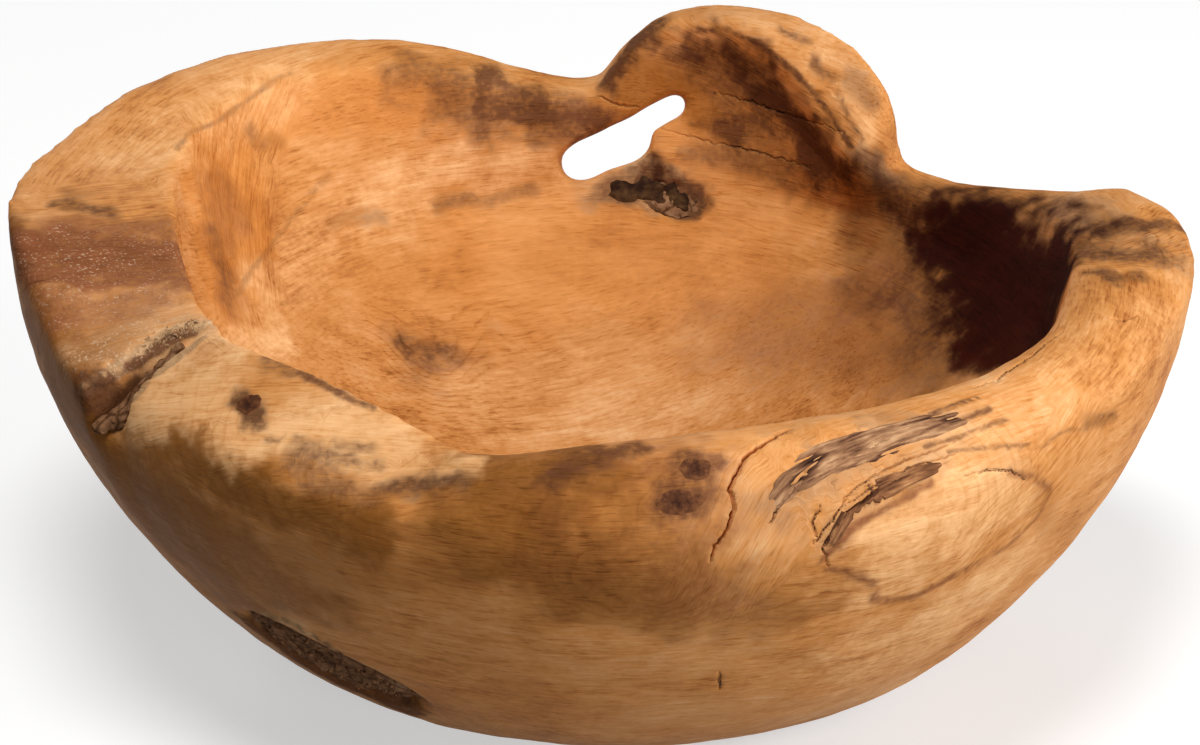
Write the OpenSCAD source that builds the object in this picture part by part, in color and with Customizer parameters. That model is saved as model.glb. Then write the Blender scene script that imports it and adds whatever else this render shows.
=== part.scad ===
// Dough bowl carved from one tree root, with a natural edge.
// Millimetres. +Z is up, +X is to the right of the front view and +Y goes to the back.
// The origin is the middle of the flat that the bowl stands on.

/* [Outside] */
// Width of the bowl, left to right
bowl_w = 300; // [280:1:340]
// Depth of the bowl, front to back
bowl_d = 254; // [240:1:290]
// Height of a plain stretch of the rim
rim_h = 108; // [102:1:124]
// Width of the flat underside
base_w = 146; // [110:1:156]
// Depth of the flat underside
base_d = 106; // [80:1:120]
// Fullness of the outer wall, from 1.3, lean, to 1.8, round
wall_fullness = 1.45; // [1.3:0.05:1.8]
// Height of the rounding below the rim's outer edge
shoulder_drop = 26; // [18:1:34]
// Length of one unit of the natural edge's swells, insets, rises and crowns
edge_unit = 1; // [0.9:0.05:1.1]

/* [Hollow] */
// Width of a plain stretch of the rim
rim_w = 18; // [16:0.5:22]
// From the bowl's outer oval in to the crease where the steep wall meets the dished floor, at the sides
side_wall_w = 43; // [41:0.5:50]
// The same at the front and back
end_wall_w = 24; // [23:0.5:32]
// Height of the crease
crease_h = 80; // [74:1:84]
// Wood left under the middle of the hollow
floor_t = 30; // [22:1:40]
// Undercut of the steep wall for each mm that the rim stands over a plain stretch
undercut_rate = 0.3; // [0:0.05:0.35]

/* [Ear and slot] */
// Turn of the ear's top towards its tip, in degrees
ear_sweep = 3; // [0:0.5:5]
// Width of the wide end of the slot under the ear
slot_w = 11.2; // [9:0.2:13]
// Width of the slot's narrow neck
neck_w = 5.8; // [4.6:0.2:7]
// Downward slope of the slot from the hollow to the back, in degrees
slot_slope = 23; // [18:1:25]

/* [Bark and knots] */
// Half width of the pocket low on the outer wall
pocket_r = 14; // [12:0.5:15]
// Half width of the recess at the foot of the slot
recess_r = 7; // [6:0.25:7.5]
// Half width of the wider bark strip in the front rim
strip_r = 6; // [5:0.25:7]
// Half width of the narrower bark strip
thin_strip_r = 3.6; // [3.2:0.1:4.2]
// Width of the seam at the outside of the left rim
seam_w = 11; // [8:0.5:13]
// Depth of the pocket's bark below the wood round it
pocket_sink = 2.5; // [2:0.25:3.5]
// Depth of the recess's bark below the wood round it
recess_sink = 1.5; // [1:0.25:2.5]
// Thickness of the bark in the seam
seam_bark_t = 3; // [2.4:0.1:4]
// Width of a dead knot where it meets the surface
knot_w = 5; // [4:0.2:5.2]
// Length of a dead knot into the wood
knot_depth = 8; // [6:0.5:10]
// Shrinkage gap between an inclusion and the wood round it
shrink_gap = 0.2; // [0.15:0.05:0.3]

/* [Hidden] */

// Stations round the rim: angle from +X, swell of the wall beyond the plain oval, inset of the
// rim's outer edge from there, rise of that edge over a plain stretch, extra width of the rim,
// rise of its inner edge over its outer one, and the crown of its top. All but the angle are in
// edge units.
RIM = [
    // right lobe
    [  2,   2,  3,  -7,  13,   3, 4],
    [ 10,   6,  3,  -4,  13,  -1, 4],
    [ 18,   5,  3,  -3,   8,  -3, 3],
    // dip before the ear
    [ 25,  -1,  2,  -9,   1,  -2, 2],
    [ 33,  -6,  2, -14,  -3,   0, 2],
    [ 42,  -8,  2, -17,  -3,   0, 2],
    [ 48,  -8,  3, -15,  -5,   0, 2],
    // ear, from its tip to its root
    [ 51,  -8,  7,   0,  -4,  -9, 2],
    [ 53,  -8,  6,  11,  -4, -20, 2],
    [ 56,  -6,  5,  18,  -4, -20, 2],
    [ 60,  -4,  5,  21,  -5, -15, 2],
    [ 65,  -1,  6,  22,  -6,  -7, 2],
    [ 72,   1,  5,  22,  -7,  -3, 2],
    [ 78,   2,  4,  20,  -8,  -3, 2],
    [ 82,   2,  4,  17,  -8,  -2, 2],
    [ 85,   2,  3,  12,  -7,  -2, 2],
    [ 88,   1,  2,   4,  -6,  -2, 2],
    // saddle and back
    [ 91,   1,  2,  -3,  -5,  -2, 2],
    [100,   2,  2,   1,  -4,  -3, 2],
    [106,   4,  3,   6,  -2,  -4, 2],
    [112,   6,  3,  10,   0,  -5, 2],
    [122,  11,  3,  12,   0,  -5, 2],
    [132,  13,  2,  13,   0,  -5, 1],
    // broad flat slab on the left
    [144,  10,  2,  13,   6,  -5, 1],
    [158,   9,  2,   8,  16,  -3, 0],
    [169,   7,  2,   5,  27,  -1, 0],
    [180,  -2,  4,   2,  23,  -1, 0],
    [192,  -8,  3,  -2,  19,   2, 0],
    [201,  -7,  3,  -5,  18,   7, 0],
    [206,  -7,  3,  -8,  17,  10, 0],
    // sloping facet on the left of the front
    [209, -13,  5, -10,   6,  13, 1],
    [214, -12,  4, -11,   4,  16, 1],
    [226, -10,  4, -10,   5,  15, 1],
    [238,  -6,  4, -11,   5,  14, 1],
    [249,  -3,  4, -13,   0,  13, 1],
    // rounded lip on the right of the front
    [256,   0,  5,  -9,  -4,   8, 3],
    [270,   3,  8,  -4,   0,   4, 4],
    [284,   3, 11,  -4,  -1,   6, 4],
    [300,   0, 10,  -6,   2,   6, 4],
    [316,  -3,  8,  -8,   2,   7, 4],
    [330,  -8,  3,  -9,   4,   6, 5],
    [345,  -8,  2,  -8,   6,   5, 5],
];

// Stretches round the bowl: the angle where each starts and the step between sections in it
STRETCHES = [[0, 4], [24, 3], [42, 1.5], [63, 2.25], [90, 3], [120, 4], [204, 1], [210, 4], [258, 4.25]];
FULL_TURN = 360;

// Steps along each stretch of a section
WALL_STEPS = 12;
TOP_STEPS = 5;
INNER_STEPS = 6;
FLOOR_STEPS = 6;
SPINDLE_STEPS = 8;

// Angles over which the lower wall is evened out
CALM = [-24, -16, -8, 0, 8, 16, 24];

// Width and depth of the hollow at its crease
hollow_w = bowl_w - 2 * side_wall_w;
hollow_d = bowl_d - 2 * end_wall_w;

// Where the underside and the hollow are centred
BASE_X = 4;
HOLLOW_X = 5;
HOLLOW_Y = 6;

// Where the ear turns: middle and half spread in degrees, and how far below a plain stretch of the
// rim the turn starts, in edge units
EAR_ANGLE = 50;
EAR_SPREAD_ANGLE = 6;
EAR_START = 16;

// Places on the skin, each an angle and a step along the section there
POCKET = [[216.5, 6.4], [243, 4.7]];
RECESS = [[86, 22.9], [73, 23.3]];
STRIP = [[288.5, 11.8], [313.5, 13.6]];
THIN_STRIP = [[297.5, 11.2], [313.5, 12.3]];
SEAM = [[205, 16.9], [207.5, 10.3]];
KNOTS = [[279.7, 13], [278.6, 11.7], [224.7, 14.2]];
SLOT = [[93, 21.3]];

// Distance from the skin out to the middle line of each spindle
POCKET_LIFT = 4;
RECESS_LIFT = 2;
STRIP_LIFT = 4;
THIN_STRIP_LIFT = 2;

// The slot's outline: reach of its wide end, then where its neck starts and ends
WIDE_END = [14, 6];
NECK_START = [14, 9];
NECK_END = [27, 16];
SLOT_REACH = 60;

// The seam: half width at its inner end, run past its outer end, height of its opening, and where
// its bark starts along it
SEAM_TIP = 0.8;
SEAM_RUN = 14;
SEAM_OPEN_H = 40;
SEAM_BARK_START = 10;

// Reach of a knot's cutter past the skin, and its half width at each end for each mm of knot
KNOT_STAND = 3;
KNOT_TAPER = [0.6, 0.3];

// Smooth curve through the stations, with no overshoot between them
function station(i) =
    let (n = len(RIM), k = (i + n) % n)
    RIM[k] + [floor(i / n) * FULL_TURN, 0, 0, 0, 0, 0, 0];
function step_rate(i, c) = (station(i + 1)[c] - station(i)[c]) / (station(i + 1)[0] - station(i)[0]);
function rate(i, c) =
    let (a = step_rate(i - 1, c), b = step_rate(i, c))
    a * b <= 0 ? 0 : 2 * a * b / (a + b);
function span_at(a, i = 0) = station(i + 1)[0] > a ? i : span_at(a, i + 1);
function rim_value(a, c) =
    let (
        t = a < RIM[0][0] ? a + FULL_TURN : a,
        i = span_at(t),
        p = station(i),
        q = station(i + 1),
        w = q[0] - p[0],
        s = (t - p[0]) / w
    )
    edge_unit * (p[c] * (1 + 2 * s) * pow(1 - s, 2) + q[c] * (3 - 2 * s) * s * s
        + w * s * (1 - s) * (rate(i, c) * (1 - s) - rate(i + 1, c) * s));

// The same, evened out over a spread of angles, for the lower wall
function calm_value(a, c) =
    let (sum = [for (k = CALM) rim_value((a + k + FULL_TURN) % FULL_TURN, c)])
    sum * [for (k = CALM) 1] / len(CALM);

function oval(w, d, a) = w * d / 2 / sqrt(pow(d * cos(a), 2) + pow(w * sin(a), 2));
function mix(a, b, s) = a + (b - a) * s;

// Section of the bowl at an angle, as [radius, height] from the underside over the rim to the floor
function section(a) =
    let (
        r_base = oval(base_w, base_d, a) + BASE_X * cos(a),
        r_oval = oval(bowl_w, bowl_d, a),
        r_wide = r_oval + rim_value(a, 1),
        r_calm = r_oval + calm_value(a, 1),
        inset = rim_value(a, 2),
        r_out = r_wide - inset,
        z_out = rim_h + rim_value(a, 3),
        z_calm = rim_h + calm_value(a, 3),
        r_in = r_out - rim_w - rim_value(a, 4),
        z_in = z_out + rim_value(a, 5),
        crown = rim_value(a, 6),
        z_round = z_out - shoulder_drop,
        r_crease = oval(hollow_w, hollow_d, a) + HOLLOW_X * cos(a) + HOLLOW_Y * sin(a),
        undercut = undercut_rate * max(0, z_in - rim_h),
        power = 2 / wall_fullness
    )
    [
        for (i = [0:WALL_STEPS])
            let (
                t = 90 * i / WALL_STEPS,
                up = pow(i / WALL_STEPS, 4),
                z = mix(z_calm, z_out, up) * (1 - pow(cos(t), power)),
                s = max(0, z - z_round) / shoulder_drop
            )
            [mix(r_base, mix(r_calm, r_wide, up), pow(sin(t), power)) - inset * s * s, z],
        for (i = [1:TOP_STEPS])
            let (s = i / TOP_STEPS)
            [mix(r_out, r_in, s), mix(z_out, z_in, s) + crown * 4 * s * (1 - s)],
        for (i = [1:INNER_STEPS])
            let (s = i / INNER_STEPS)
            [mix(r_in, r_crease, s) + undercut * sin(180 * s), mix(z_in, crease_h, s)],
        for (i = [1:FLOOR_STEPS - 1])
            let (s = 1 - i / FLOOR_STEPS)
            [r_crease * s, mix(floor_t, crease_h, s * s)],
    ];

// Turn of a point of the section about the upright, so that the ear's tip hangs over
function turn(a, z) =
    let (
        across = max(0, 1 - pow((a - EAR_ANGLE) / EAR_SPREAD_ANGLE, 2)),
        along = min(1, max(0, (z - rim_h) / EAR_START / edge_unit + 1))
    )
    -ear_sweep * across * along;

function place(a, p) = let (b = a + turn(a, p[1])) [p[0] * cos(b), p[0] * sin(b), p[1]];

// A point of the skin, by angle and by step along the section, and the way the skin faces there
function skin(a, v) =
    let (line = section(a), i = floor(v))
    place(a, mix(line[i], line[i + 1], v - i));
function facing(a, v) =
    let (
        round = skin(a + 1, v) - skin(a - 1, v),
        up = skin(a, v + 0.3) - skin(a, v - 0.3),
        n = cross(round, up)
    )
    n / norm(n);

// The carved root before its slot and pockets are opened
module root_blank() {
    angles = [
        for (i = [0:len(STRETCHES) - 1])
            let (last = i + 1 < len(STRETCHES) ? STRETCHES[i + 1][0] : FULL_TURN)
            for (a = [STRETCHES[i][0]:STRETCHES[i][1]:last - 0.1]) a
    ];
    rings = [for (a = angles) section(a)];
    n = len(angles);
    m = len(rings[0]);
    points = [
        for (i = [0:n - 1], p = rings[i]) place(angles[i], p),
        [0, 0, 0],
        [0, 0, floor_t],
    ];
    under = n * m;
    bottom = n * m + 1;
    faces = [
        for (i = [0:n - 1], j = [0:m - 2])
            let (
                k = (i + 1) % n,
                a = i * m + j,
                b = k * m + j,
                along = norm(points[a + 1] - points[b]) < norm(points[a] - points[b + 1])
            )
            each along
                ? [[a, a + 1, b], [b, a + 1, b + 1]]
                : [[a, a + 1, b + 1], [a, b + 1, b]],
        for (i = [0:n - 1])
            let (k = (i + 1) % n)
            each [[under, i * m, k * m], [bottom, k * m + m - 1, i * m + m - 1]],
    ];
    polyhedron(points, faces);
}

// Turns its child's Z axis along a direction
module aim(d) {
    rotate([0, acos(d[2] / norm(d)), atan2(d[1], d[0])]) children();
}

// The way the skin faces halfway between two places
function out_of(ends) = let (m = (ends[0] + ends[1]) / 2) facing(m[0], m[1]);

// Spindle between two places on the skin, lifted off it
module spindle(ends, r, lift, shrink = 0) {
    p = skin(ends[0][0], ends[0][1]);
    q = skin(ends[1][0], ends[1][1]);
    reach = norm(q - p) / 2 - shrink;
    translate((p + q) / 2 + out_of(ends) * lift)
        aim(q - p)
            rotate_extrude()
                polygon([
                    for (i = [0:SPINDLE_STEPS])
                        let (t = 180 * i / SPINDLE_STEPS)
                        [(r - shrink) * sin(t), -reach * cos(t)]
                ]);
}

module pocket(shrink = 0) {
    spindle(POCKET, pocket_r, POCKET_LIFT, shrink);
}

module recess(shrink = 0) {
    spindle(RECESS, recess_r, RECESS_LIFT, shrink);
}

module strip(shrink = 0) {
    spindle(STRIP, strip_r, STRIP_LIFT, shrink);
}

module thin_strip(shrink = 0) {
    spindle(THIN_STRIP, thin_strip_r, THIN_STRIP_LIFT, shrink);
}

// Wedge that opens outwards along the seam, with its floor on the line between two places
module seam(h, start = 0, shrink = 0) {
    p = skin(SEAM[0][0], SEAM[0][1]);
    d = skin(SEAM[1][0], SEAM[1][1]) - p;
    reach = norm(d) + SEAM_RUN;
    narrow = mix(SEAM_TIP, seam_w / 2, start / reach) - shrink;
    wide = seam_w / 2 - shrink;
    translate(p)
        rotate([0, asin(-d[2] / norm(d)), atan2(d[1], d[0])])
            translate([0, 0, shrink])
                linear_extrude(h)
                    polygon([[start, -narrow], [reach, -wide], [reach, wide], [start, narrow]]);
}

// Tapered knot that points into the wood
module knot(at, shrink = 0) {
    out = facing(at[0], at[1]);
    ends = knot_w * KNOT_TAPER - [shrink, shrink];
    translate(skin(at[0], at[1]) + out * KNOT_STAND)
        aim(-out)
            cylinder(h = knot_depth + KNOT_STAND - shrink, r1 = ends[0], r2 = ends[1]);
}

// Bottle-shaped gap through the wall below the ear
module slot() {
    translate(skin(SLOT[0][0], SLOT[0][1]))
        rotate([90 - slot_slope, 0, 0])
            linear_extrude(SLOT_REACH, center = true) {
                hull() {
                    circle(d = slot_w);
                    translate(WIDE_END) circle(d = slot_w);
                }
                hull() {
                    translate(NECK_START) circle(d = neck_w);
                    translate(NECK_END) circle(d = neck_w);
                }
            }
}

module bowl_body() {
    color("peru")
        difference() {
            root_blank();
            slot();
            pocket();
            recess();
            strip();
            thin_strip();
            seam(SEAM_OPEN_H);
            for (k = KNOTS) knot(k);
        }
}

module pocket_bark() {
    color("dimgray")
        intersection() {
            translate(-out_of(POCKET) * pocket_sink) root_blank();
            pocket(shrink_gap);
        }
}

module recess_bark() {
    color("dimgray")
        intersection() {
            translate(-out_of(RECESS) * recess_sink) root_blank();
            recess(shrink_gap);
        }
}

module seam_bark() {
    color("dimgray")
        intersection() {
            root_blank();
            seam(seam_bark_t, SEAM_BARK_START, shrink_gap);
        }
}

module rim_bark() {
    color("gray")
        intersection() {
            root_blank();
            union() {
                strip(shrink_gap);
                thin_strip(shrink_gap);
            }
        }
}

module dead_knots() {
    color("saddlebrown")
        intersection() {
            root_blank();
            for (k = KNOTS) knot(k, shrink_gap);
        }
}

bowl_body();
pocket_bark();
recess_bark();
seam_bark();
rim_bark();
dead_knots();
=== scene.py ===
import functools
import math
import bpy
import bmesh
import numpy as np
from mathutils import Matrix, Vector, noise
from mathutils.bvhtree import BVHTree
from mathutils.kdtree import KDTree


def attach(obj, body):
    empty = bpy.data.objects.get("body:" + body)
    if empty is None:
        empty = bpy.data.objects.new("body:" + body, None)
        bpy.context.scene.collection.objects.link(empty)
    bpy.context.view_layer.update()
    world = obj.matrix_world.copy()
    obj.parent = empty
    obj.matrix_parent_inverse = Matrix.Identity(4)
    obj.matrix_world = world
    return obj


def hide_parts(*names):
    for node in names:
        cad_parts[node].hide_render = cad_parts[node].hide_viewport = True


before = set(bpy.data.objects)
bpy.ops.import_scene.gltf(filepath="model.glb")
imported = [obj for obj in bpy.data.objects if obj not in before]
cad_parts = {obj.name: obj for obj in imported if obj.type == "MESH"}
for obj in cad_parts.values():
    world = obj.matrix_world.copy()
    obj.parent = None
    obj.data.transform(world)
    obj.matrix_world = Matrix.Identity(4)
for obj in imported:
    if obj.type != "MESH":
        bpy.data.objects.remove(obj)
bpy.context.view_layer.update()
print("frame loaded, nodes:", ", ".join(sorted(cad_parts)))

# camera, fitted to the bowl's outline in the photograph
view = {
    "photoSize": (1200, 745),
    "target": Vector((0, 0, 0.075)),
    "distance": 0.9,
    "elevation": 26,
    "lens": 107.2,
    "sensor": 36,
}


def addObject(name, data):
    piece = bpy.data.objects.new(name, data)
    bpy.context.scene.collection.objects.link(piece)
    return piece


# adds a camera or lamp that looks at the bowl
def addAimed(name, data, place):
    holder = addObject(name, data)
    holder.location = place
    holder.rotation_euler = (view["target"] - holder.location).to_track_quat("-Z", "Y").to_euler()
    return holder


def makeCamera():
    lift = math.radians(view["elevation"])
    back = Vector((0, -math.cos(lift), math.sin(lift))) * view["distance"]
    data = bpy.data.cameras.new("camera")
    data.sensor_fit = "HORIZONTAL"
    data.sensor_width = view["sensor"]
    data.lens = view["lens"]
    camera = addAimed("camera", data, view["target"] + back)
    bpy.context.scene.camera = camera
    return camera


camera = makeCamera()
bpy.context.view_layer.update()


# line of sight through a pixel of the photograph
def sightLine(pixel):
    wide, high = view["photoSize"]
    reach = view["lens"] / view["sensor"] * wide
    aim = Vector((pixel[0] - wide / 2, high / 2 - pixel[1], -reach))
    return camera.location, (camera.matrix_world.to_3x3() @ aim).normalized()


# sRGB hex to the linear colour that shaders take
def linearColour(code):
    parts = [int(code[i:i + 2], 16) / 255 for i in (1, 3, 5)]
    return [c / 12.92 if c <= 0.04045 else ((c + 0.055) / 1.055) ** 2.4 for c in parts] + [1]


# adds one node: links are sockets or plain values, stops fill a colour ramp, the rest are its settings
def addNode(tree, kind, links=None, output=0, stops=None, **settings):
    node = tree.nodes.new(kind if "Node" in kind else "ShaderNode" + kind)
    for name, value in settings.items():
        setattr(node, name, value)
    if stops:
        ramp = node.color_ramp.elements
        while len(ramp) < len(stops):
            ramp.new(0.5)
        for element, (place, colour) in zip(ramp, stops):
            element.position = place
            element.color = linearColour(colour)
    for key, value in (links or {}).items():
        if isinstance(value, bpy.types.NodeSocket):
            tree.links.new(value, node.inputs[key])
        else:
            node.inputs[key].default_value = value
    return node.outputs[output] if node.outputs else node


# an empty material, and addNode for its tree
def newMaterial(name):
    material = bpy.data.materials.new(name)
    material.use_nodes = True
    material.node_tree.nodes.clear()
    return material, functools.partial(addNode, material.node_tree)


# start plus each part times its weight
def weightedSum(node, start, parts, weights):
    for name, weight in weights.items():
        start = node("Math", {0: parts[name], 1: weight, 2: start}, operation="MULTIPLY_ADD")
    return start


# copy of one or more CAD nodes with their loose triangles joined
def joinedCopy(*nodes):
    shell = bmesh.new()
    for node in nodes:
        shell.from_mesh(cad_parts[node].data)
    bmesh.ops.remove_doubles(shell, verts=shell.verts, dist=1e-6)
    return shell


def meshOf(shell, name):
    mesh = bpy.data.meshes.new(name)
    shell.to_mesh(mesh)
    shell.free()
    return mesh


# turns an object with modifiers into a plain mesh, and removes the object and the mesh it had
def baked(holder):
    mesh = holder.data
    shaped = holder.evaluated_get(bpy.context.evaluated_depsgraph_get())
    result = bpy.data.meshes.new_from_object(shaped)
    bpy.data.objects.remove(holder)
    bpy.data.meshes.remove(mesh)
    return result


# mesh after one modifier; the kept points are in a group of that name
def applied(mesh, kind, settings, kept=None):
    holder = addObject("holder", mesh)
    if kept is not None:
        holder.vertex_groups.new(name="kept").add(kept.tolist(), 1, "REPLACE")
    modifier = holder.modifiers.new("change", kind)
    for name, value in settings.items():
        setattr(modifier, name, value)
    return baked(holder)


def readPoints(mesh):
    points = np.empty(len(mesh.vertices) * 3)
    mesh.vertices.foreach_get("co", points)
    normals = np.empty(len(mesh.vertices) * 3)
    mesh.vertex_normals.foreach_get("vector", normals)
    return points.reshape(-1, 3), normals.reshape(-1, 3)


def writePoints(mesh, points):
    mesh.vertices.foreach_set("co", points.ravel())
    mesh.update()


# each point moves towards the middle of its neighbours
def evenOut(mesh, points, weight, rounds):
    ends = np.empty(len(mesh.edges) * 2, np.int32)
    mesh.edges.foreach_get("vertices", ends)
    first, second = ends.reshape(-1, 2).T
    count = len(points)
    total = np.bincount(first, minlength=count) + np.bincount(second, minlength=count)
    pull = (0.5 * weight / np.maximum(total, 1))[:, None]
    for _ in range(rounds):
        gap = points[second] - points[first]
        push = np.stack([
            np.bincount(first, gap[:, k], count) - np.bincount(second, gap[:, k], count)
            for k in range(3)
        ], 1)
        points = points + pull * push
    return points


def softStep(value, low, high):
    t = np.clip((value - low) / (high - low), 0, 1)
    return t * t * (3 - 2 * t)


def pointTree(points):
    tree = KDTree(len(points))
    for index, point in enumerate(points):
        tree.insert(point, index)
    tree.balance()
    return tree


def roughness(points, size, seed, octaves=2):
    shift = Vector((seed * 3.7, seed * 1.3, seed * 2.9))
    return np.array([noise.fractal(Vector(p) / size + shift, 1.0, 2.0, octaves) for p in points])


# bowl body, lengths in m
bowl = {
    "voxel": 0.0011,
    "sharpAngle": 35,            # degrees, edges that stay crisp
    "edgeStep": 0.001,
    "edgeReach": 0.02,           # length of crisp edge over which its corners are eased
    "edgeSlack": (0.0004, 0.3),  # how far an edge may leave its line: at once, and over its length
    "edgeShift": 0.0012,         # the most that a place on it moves
    "edgeEven": 0.04,            # share of the evening out that reaches the crisp edges
    "edgeBand": 0.002,           # along the crisp edges no face is thinned out
    "keepNear": 0.0015,
    "evenFrom": 0.008,
    "roundRounds": 15,           # rounds the crisp edges a little
    "evenRounds": 60,            # takes the CAD facets off the broad faces
    "flatFade": (0.0006, 0.003), # the underside stays flat
    "carveFade": (0.0005, 0.004),
    "waveSize": 0.026,           # unevenness left by hand tools
    "waveDepth": 0.0005,
    "rippleSize": 0.008,
    "rippleDepth": 0.00018,
    "splinterSize": 0.0022,
    "splinterFade": 0.6,
    "splitShape": 0.8,           # 1 is a plain V
    "crackReach": (0.0025, 0.0012),
    "trianglesAtMost": 188000,
}

# splits in the wood: photo pixels along each, half width and depth in mm
splits = [
    (((792, 428), (766, 442), (745, 458), (733, 480), (730, 490), (734, 510), (727, 530), (715, 545),
      (711, 562)), 0.5, 2.2),
    (((806, 478), (792, 492), (780, 505), (768, 524)), 0.35, 1.2),
    (((820, 506), (812, 522), (817, 538)), 0.35, 1.0),
    (((905, 474), (880, 488), (852, 508), (838, 522), (822, 548), (829, 566)), 0.4, 1.2),
    (((846, 505), (880, 482), (915, 466), (960, 452)), 0.3, 0.8),
    (((1062, 332), (1030, 358), (1000, 378), (975, 388)), 0.3, 0.8),
    (((1143, 314), (1122, 320), (1106, 316)), 0.35, 0.8),
    (((715, 92), (760, 104), (805, 120), (845, 133)), 0.25, 0.6),
    (((660, 128), (700, 140), (760, 152), (812, 168)), 0.25, 0.6),
    (((598, 96), (612, 104), (640, 108)), 0.4, 1.0),
    (((720, 672), (719, 690)), 0.4, 0.6),
    (((775, 512), (800, 480), (840, 460), (890, 440)), 0.3, 0.8),
    (((842, 500), (870, 478), (900, 462), (935, 450), (960, 438)), 0.3, 0.8),
    (((812, 545), (832, 520), (846, 500)), 0.35, 0.9),
    (((965, 478), (985, 470), (1010, 470), (1025, 480)), 0.3, 0.7),
]

# splits that the photograph doesn't show: angle and height in mm
backSplits = [
    (((62, 108), (63, 98), (66, 88), (66, 76)), 0.45, 1.6),
    (((118, 112), (121, 104), (121, 94)), 0.4, 1.2),
    (((26, 74), (33, 70), (40, 71)), 0.35, 1.0),
]

# ragged, broken fibre: photo pixels along each, half width and depth in mm
ragged = [
    (((208, 322), (192, 326), (165, 334), (142, 352), (118, 368), (86, 388)), 3.0, 1.3),
    (((137, 396), (150, 380), (172, 362), (200, 340)), 2.5, 0.8),
    (((640, 168), (668, 180), (690, 205)), 6.0, 0.9),
    (((253, 612), (290, 622), (330, 645), (370, 672), (408, 704)), 2.0, 0.8),
]

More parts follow.
